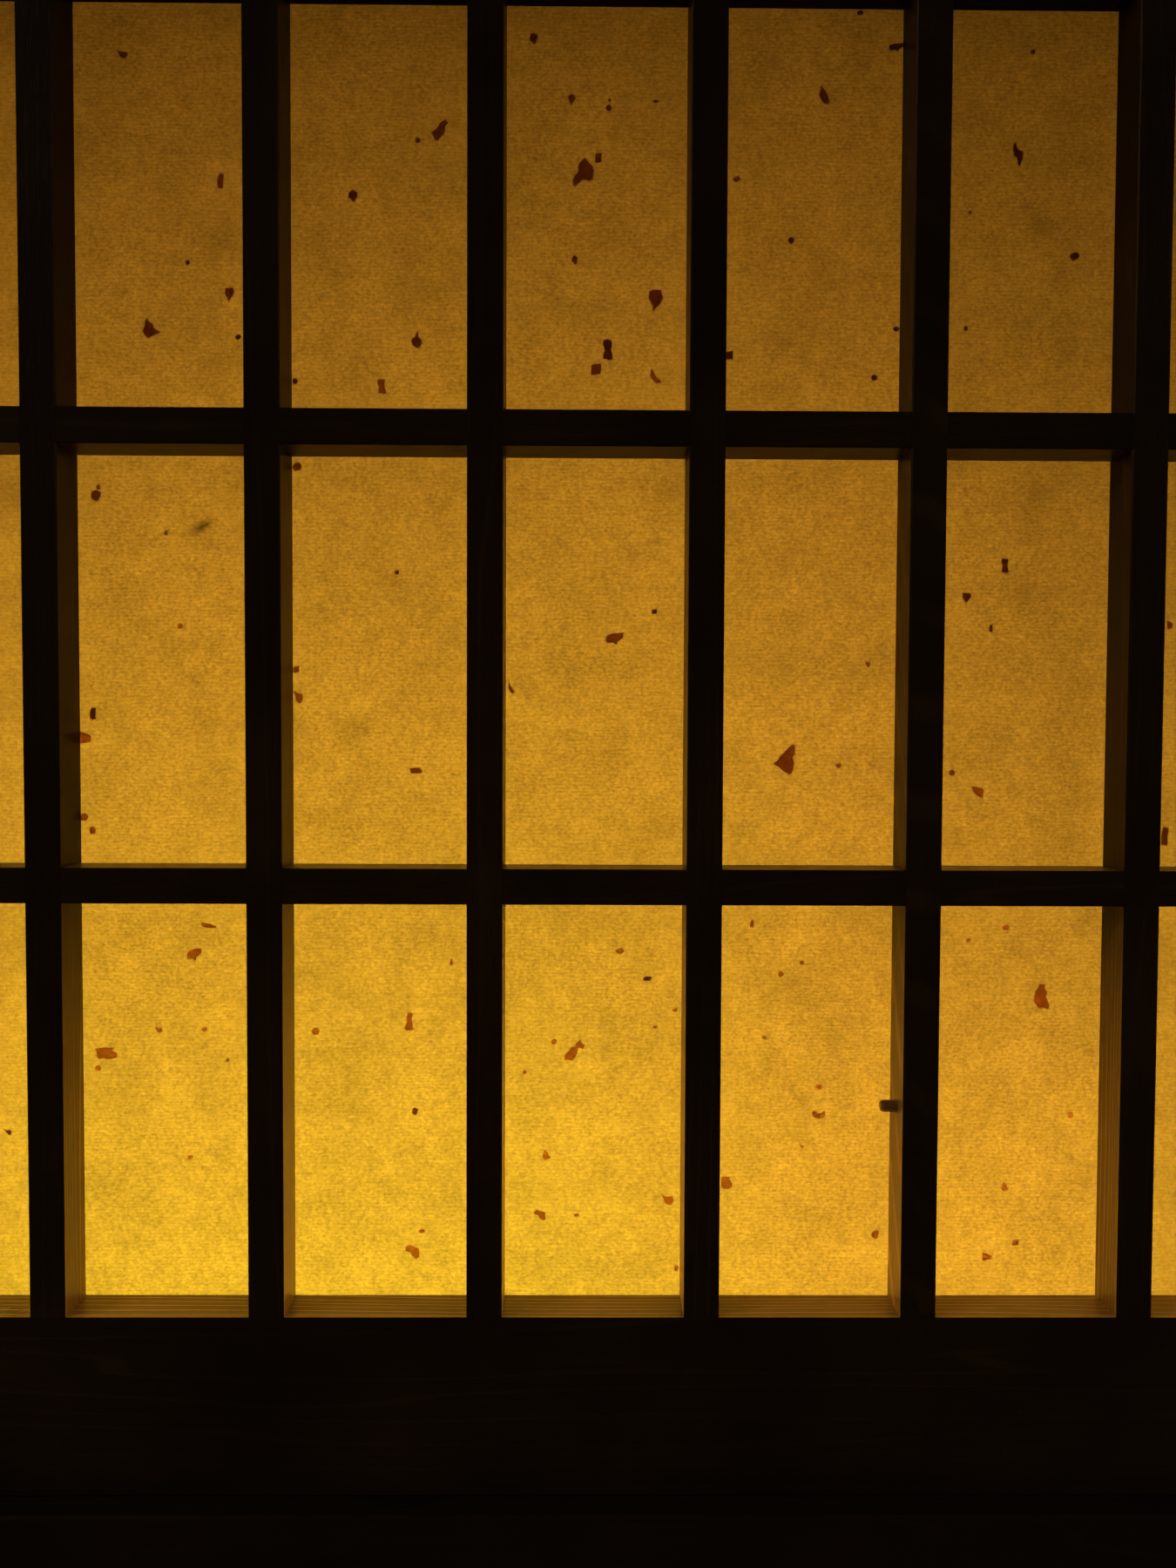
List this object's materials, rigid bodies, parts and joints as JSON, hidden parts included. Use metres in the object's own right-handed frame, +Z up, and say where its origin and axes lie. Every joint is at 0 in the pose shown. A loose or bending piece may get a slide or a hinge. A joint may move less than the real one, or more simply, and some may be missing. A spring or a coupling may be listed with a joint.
{
  "type": "shoji sliding screen",
  "caption": "Pair of shoji sliding screens in a timber frame: heavy dark lattice halved at its crossings, backed with amber paper, running in twin grooves.",
  "frame": {"origin": "on the floor, under the middle of the sill", "axes": "+X right as seen from the room, along the tracks; +Y away from the room; +Z up"},
  "size_m": [1.934, 0.105, 1.842],
  "materials": {
    "frame_wood": "satin dark stain",
    "leaf_wood": "satin dark stain",
    "lattice_wood": "satin dark stain",
    "runner_wood": "rubbed smooth",
    "paper": "translucent amber paper with leaf flakes in it"
  },
  "bodies": {
    "frame": {"head": "frame_wood", "sill": "frame_wood", "left_jamb": "frame_wood", "right_jamb": "frame_wood", "front_slip_strip": "runner_wood", "rear_slip_strip": "runner_wood"},
    "front_leaf": {"front_leaf_left_stile": "leaf_wood", "front_leaf_right_stile": "leaf_wood", "front_leaf_top_rail": "leaf_wood", "front_leaf_bottom_rail": "leaf_wood", "front_leaf_upright_bar_1": "lattice_wood", "front_leaf_upright_bar_2": "lattice_wood", "front_leaf_upright_bar_3": "lattice_wood", "front_leaf_upright_bar_4": "lattice_wood", "front_leaf_upright_bar_5": "lattice_wood", "front_leaf_upright_bar_6": "lattice_wood", "front_leaf_level_bar_1": "lattice_wood", "front_leaf_level_bar_2": "lattice_wood", "front_leaf_level_bar_3": "lattice_wood", "front_leaf_level_bar_4": "lattice_wood", "front_leaf_level_bar_5": "lattice_wood", "front_leaf_paper": "paper", "front_leaf_peg": "lattice_wood"},
    "rear_leaf": {"rear_leaf_left_stile": "leaf_wood", "rear_leaf_right_stile": "leaf_wood", "rear_leaf_top_rail": "leaf_wood", "rear_leaf_bottom_rail": "leaf_wood", "rear_leaf_upright_bar_1": "lattice_wood", "rear_leaf_upright_bar_2": "lattice_wood", "rear_leaf_upright_bar_3": "lattice_wood", "rear_leaf_upright_bar_4": "lattice_wood", "rear_leaf_upright_bar_5": "lattice_wood", "rear_leaf_upright_bar_6": "lattice_wood", "rear_leaf_level_bar_1": "lattice_wood", "rear_leaf_level_bar_2": "lattice_wood", "rear_leaf_level_bar_3": "lattice_wood", "rear_leaf_level_bar_4": "lattice_wood", "rear_leaf_level_bar_5": "lattice_wood", "rear_leaf_paper": "paper"}
  },
  "joints": [
    {"name": "front_leaf_slide", "type": "slide", "parent": "frame", "child": "front_leaf", "axis": [-1, 0, 0], "range_m": [0, 0.912]},
    {"name": "rear_leaf_slide", "type": "slide", "parent": "frame", "child": "rear_leaf", "axis": [1, 0, 0], "range_m": [0, 0.912]}
  ]
}
